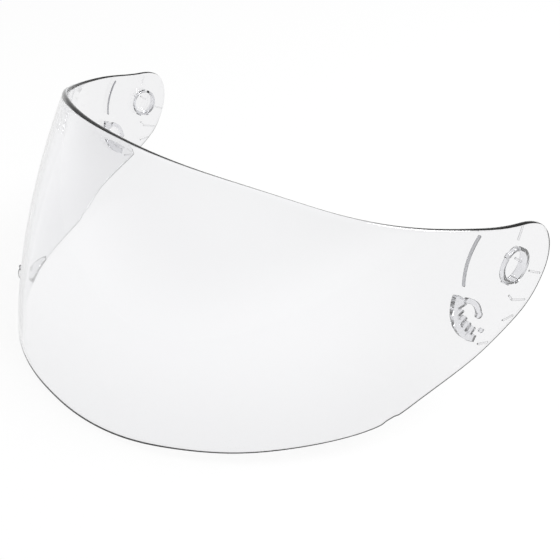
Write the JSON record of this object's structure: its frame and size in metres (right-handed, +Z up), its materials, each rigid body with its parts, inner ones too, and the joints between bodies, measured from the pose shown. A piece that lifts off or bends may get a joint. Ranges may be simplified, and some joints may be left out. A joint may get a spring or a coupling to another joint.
{
  "type": "motorcycle helmet visor",
  "caption": "Clear, doubly curved face shield with two arms that carry pivot rings, guide ribs, toothed detent sectors, sprung fingers and stop posts.",
  "frame": {"origin": "middle of the pivot axis, halfway between the two pivot rings", "axes": "+X along the pivot axis to the wearer's left, +Y to the back of the head, +Z up with the visor closed"},
  "size_m": [0.2462, 0.1452, 0.0959],
  "materials": {
    "clear_shield": "clear polycarbonate, polished",
    "clear_fitting": "clear polycarbonate, moulded gloss"
  },
  "bodies": {
    "shield_body": {"shield": "clear_shield", "pivot_ring_left": "clear_fitting", "pivot_ring_right": "clear_fitting", "guide_rib_left": "clear_fitting", "guide_rib_right": "clear_fitting", "detent_sector_left": "clear_fitting", "detent_sector_right": "clear_fitting", "stop_post_left": "clear_fitting", "stop_post_right": "clear_fitting"},
    "finger_left": {"detent_finger_left": "clear_fitting"},
    "finger_right": {"detent_finger_right": "clear_fitting"}
  },
  "joints": [
    {"name": "detent_finger_left_flex", "type": "hinge", "parent": "shield_body", "child": "finger_left", "pos_m": [0.1152, -0.02221, -0.00671], "axis": [1, 0, 0], "range_deg": [-3.5, 3.5], "stiffness_Nm_per_rad": 0.2},
    {"name": "detent_finger_right_flex", "type": "hinge", "parent": "shield_body", "child": "finger_right", "pos_m": [-0.1152, -0.02221, -0.00671], "axis": [1, 0, 0], "range_deg": [-3.5, 3.5], "stiffness_Nm_per_rad": 0.2}
  ]
}
